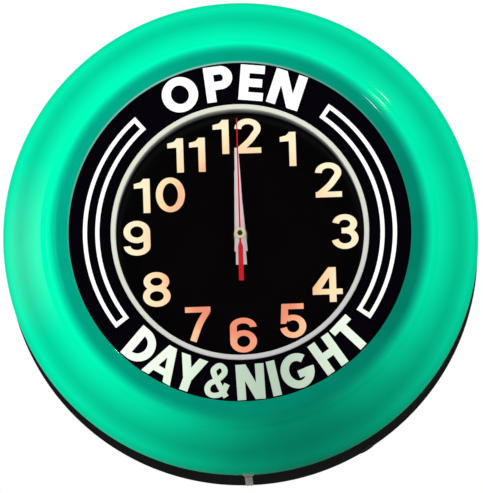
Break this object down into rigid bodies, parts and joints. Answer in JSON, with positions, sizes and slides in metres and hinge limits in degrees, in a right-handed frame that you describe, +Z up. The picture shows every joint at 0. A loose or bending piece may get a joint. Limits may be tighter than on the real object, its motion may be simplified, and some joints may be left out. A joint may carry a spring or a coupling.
{
  "type": "wall clock",
  "caption": "Round lit wall clock with a moulded green rim, a lettered black band, a sunk dial with numerals, stick hands and a motor gear train in a black steel pan.",
  "frame": {"origin": "centre of the back, on the wall plane, where the service cover lies flush with the pan", "axes": "+X to the viewer's right, +Y into the wall, +Z up; the dial faces -Y"},
  "size_m": [0.508, 0.16, 0.5108],
  "materials": {
    "green_plastic": "glossy moulded plastic lit from behind",
    "black_enamel": "satin black enamel",
    "black_acrylic": "gloss black back-printed panel",
    "letter_white": "lit clear lettering",
    "cream_plastic": "satin cream moulding",
    "dial_black": "semi-gloss black dial",
    "numeral_cream": "warm lit numerals",
    "hand_grey": "pale grey painted hands",
    "hand_red": "red painted sweep hand",
    "brass": "bright brass",
    "nickel": "nickel plate",
    "steel": "zinc-plated steel",
    "white_enamel": "white reflector enamel",
    "lamp_glass": "coated lamp glass",
    "rubber": "black rubber",
    "wire_red": "high-voltage wire jacket",
    "porcelain": "glazed porcelain",
    "transformer_iron": "black tar-filled steel case",
    "phenolic": "brown phenolic",
    "coil_tape": "varnished coil tape"
  },
  "bodies": {
    "case": {"rear_pan": "black_enamel", "service_cover": "black_enamel", "cover_screw_1": "nickel", "cover_screw_2": "nickel", "cover_screw_3": "nickel", "hanger_plate": "steel", "inlet_grommet": "rubber", "bezel": "green_plastic", "bezel_screw_left": "nickel", "bezel_screw_right": "nickel", "bottom_clip": "nickel", "clip_screw": "nickel", "lettering_panel": "black_acrylic", "well_ring": "cream_plastic", "dial_plate": "dial_black", "dial_post_1": "steel", "dial_post_2": "steel", "dial_post_3": "steel", "lamp_tray": "white_enamel", "tray_bracket_1": "steel", "tray_bracket_2": "steel", "tray_bracket_3": "steel", "panel_post_1": "nickel", "panel_post_2": "nickel", "panel_post_3": "nickel", "neon_tube": "lamp_glass", "tube_support_1": "porcelain", "tube_support_2": "porcelain", "tube_support_3": "porcelain", "tube_support_4": "porcelain", "electrode_boot_left": "rubber", "electrode_boot_right": "rubber", "transformer_terminal_left": "porcelain", "transformer_terminal_right": "porcelain", "hv_wire_left": "wire_red", "hv_wire_right": "wire_red", "transformer_case": "transformer_iron", "terminal_block": "phenolic", "lamp_lead": "rubber", "motor_lead": "rubber", "movement_front_plate": "brass", "movement_back_plate": "brass", "movement_pillar_1": "brass", "movement_pillar_2": "brass", "movement_pillar_3": "brass", "dial_nut": "brass", "motor_case": "nickel", "motor_field": "steel", "motor_coil": "coil_tape"},
    "minute_train": {"centre_arbor": "brass", "minute_hand": "hand_grey"},
    "hour_train": {"hour_wheel": "brass", "hour_hand": "hand_grey"},
    "setting_train": {"minute_wheel": "brass", "set_knob": "phenolic"},
    "third_train": {"third_wheel": "brass"},
    "second_train": {"second_arbor": "brass", "second_hand": "hand_red", "hub_cap": "brass"},
    "motor_train": {"motor_wheel": "brass"}
  },
  "joints": [
    {"name": "minute_turn", "type": "hinge", "parent": "case", "child": "minute_train", "pos_m": [0, 0, 0], "axis": [0, 1, 0], "continuous": true},
    {"name": "hour_turn", "type": "hinge", "parent": "case", "child": "hour_train", "pos_m": [0, 0, 0], "axis": [0, 1, 0], "continuous": true},
    {"name": "setting_turn", "type": "hinge", "parent": "case", "child": "setting_train", "pos_m": [0, 0, -0.02], "axis": [0, 1, 0], "continuous": true},
    {"name": "third_turn", "type": "hinge", "parent": "case", "child": "third_train", "pos_m": [0, 0, 0.019], "axis": [0, 1, 0], "continuous": true},
    {"name": "second_turn", "type": "hinge", "parent": "case", "child": "second_train", "pos_m": [0, 0, 0], "axis": [0, 1, 0], "continuous": true},
    {"name": "motor_turn", "type": "hinge", "parent": "case", "child": "motor_train", "pos_m": [0.02198, 0, 0], "axis": [0, 1, 0], "continuous": true}
  ],
  "couplings": [
    {"joint": "hour_turn", "follows": "minute_turn", "ratio": 0.083333},
    {"joint": "setting_turn", "follows": "minute_turn", "ratio": -0.33333},
    {"joint": "third_turn", "follows": "minute_turn", "ratio": -8},
    {"joint": "second_turn", "follows": "minute_turn", "ratio": 60},
    {"joint": "motor_turn", "follows": "minute_turn", "ratio": -60}
  ]
}
